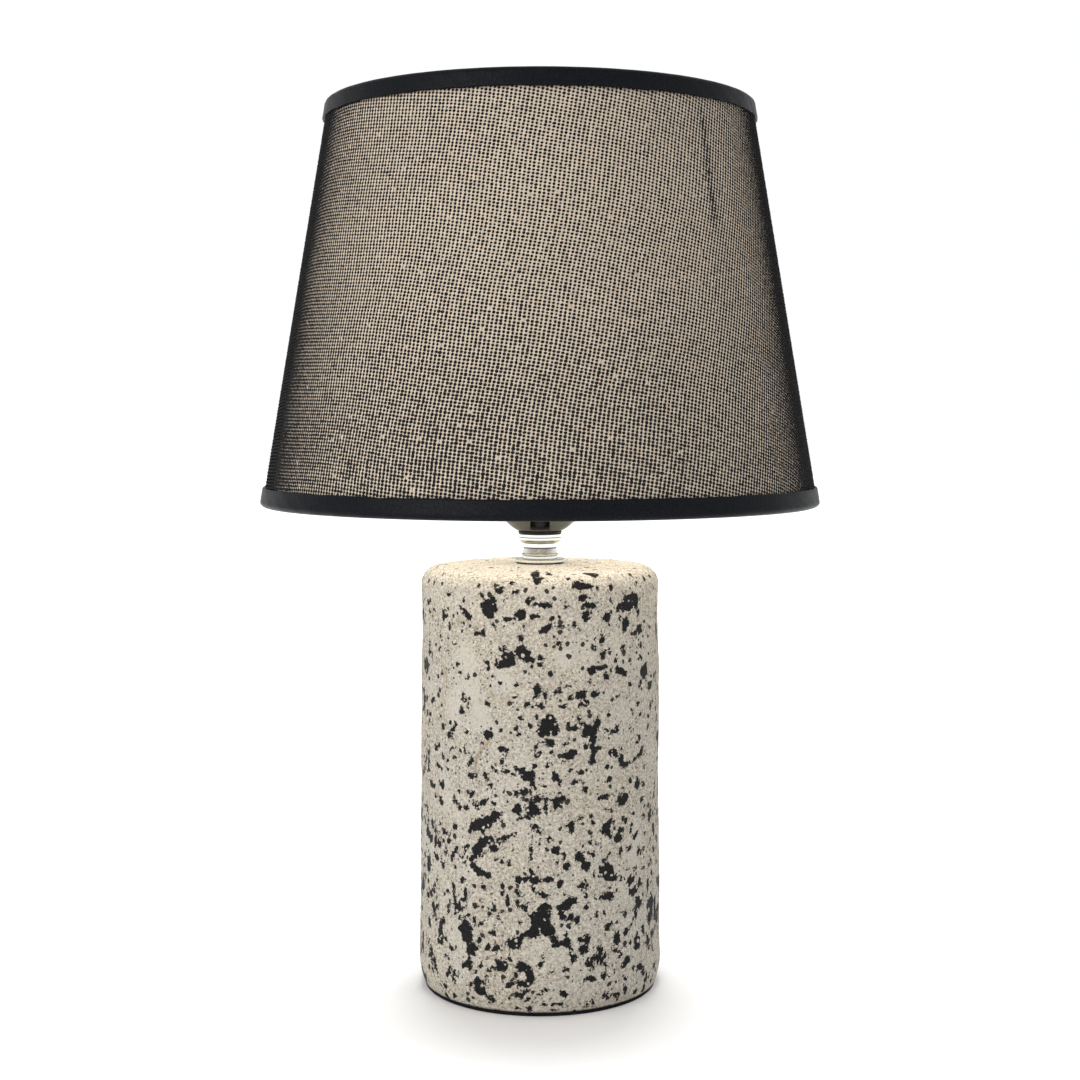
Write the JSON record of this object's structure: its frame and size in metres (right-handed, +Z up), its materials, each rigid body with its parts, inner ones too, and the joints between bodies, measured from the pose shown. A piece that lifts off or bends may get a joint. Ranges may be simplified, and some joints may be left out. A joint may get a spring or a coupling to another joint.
{
  "type": "table lamp with shade",
  "caption": "Table lamp: black-spattered cream ceramic cylinder base, polished neck, lamp holder with bulb and a tapered drum shade of open black weave over a beige liner.",
  "frame": {"origin": "centre of the foot pad's underside, on the surface the lamp stands on", "axes": "+Z up along the lamp's axis, -Y towards the front, cord inlet at +Y"},
  "size_m": [0.25, 0.25, 0.3943],
  "materials": {
    "speckled_ceramic": "matt cream stone-effect glaze with black spatter",
    "foot_rubber": "matt",
    "grommet_rubber": "matt",
    "zinc_steel": "bright zinc",
    "polished_neck": "polished plate",
    "black_plastic": "satin",
    "holder_plastic": "satin gloss",
    "brass_contact": "plain",
    "painted_wire": "black powder coat",
    "liner_paper": "translucent beige",
    "seam_tape": "translucent",
    "net_fabric": "open black weave",
    "trim_tape": "folded satin tape",
    "frosted_cover": "frosted, lit",
    "white_plastic": "matt",
    "nickel_cap": "nickel plate",
    "black_glass": "gloss",
    "board_aluminium": "white solder mask on aluminium",
    "led_phosphor": "phosphor yellow"
  },
  "bodies": {
    "lamp": {"base_body": "speckled_ceramic", "foot_pad": "foot_rubber", "cord_grommet": "grommet_rubber", "threaded_nipple": "zinc_steel", "neck_washer": "foot_rubber", "steel_washer": "zinc_steel", "lock_washer": "zinc_steel", "hex_nut": "zinc_steel", "neck_spool": "polished_neck", "neck_ring": "black_plastic", "holder_dome": "holder_plastic", "dome_set_screw": "zinc_steel", "holder_core": "black_plastic", "terminal_left": "brass_contact", "terminal_right": "brass_contact", "terminal_screws": "zinc_steel", "screw_shell": "brass_contact", "centre_contact": "brass_contact", "holder_sleeve": "holder_plastic"},
    "clamp_ring": {"shade_clamp_ring": "black_plastic"},
    "shade": {"fitter_ring": "painted_wire", "fitter_spoke_1": "painted_wire", "fitter_spoke_2": "painted_wire", "fitter_spoke_3": "painted_wire", "bottom_hoop": "painted_wire", "top_hoop": "painted_wire", "shade_liner": "liner_paper", "liner_seam": "seam_tape", "shade_net": "net_fabric", "bottom_trim": "trim_tape", "top_trim": "trim_tape"},
    "bulb": {"bulb_envelope": "frosted_cover", "bulb_housing": "white_plastic", "bulb_screw_cap": "nickel_cap", "cap_insulator": "black_glass", "cap_contact": "brass_contact", "led_board": "board_aluminium", "led_chips": "led_phosphor"}
  },
  "joints": [
    {"name": "shade_lift", "type": "slide", "parent": "lamp", "child": "clamp_ring", "axis": [0, 0, 1], "range_m": [0, 0.125]},
    {"name": "shade_turn", "type": "hinge", "parent": "clamp_ring", "child": "shade", "pos_m": [0, 0, 0.2346], "axis": [0, 0, 1], "continuous": true},
    {"name": "bulb_lift", "type": "slide", "parent": "lamp", "child": "bulb", "axis": [0, 0, 1], "range_m": [0, 0.175]}
  ]
}
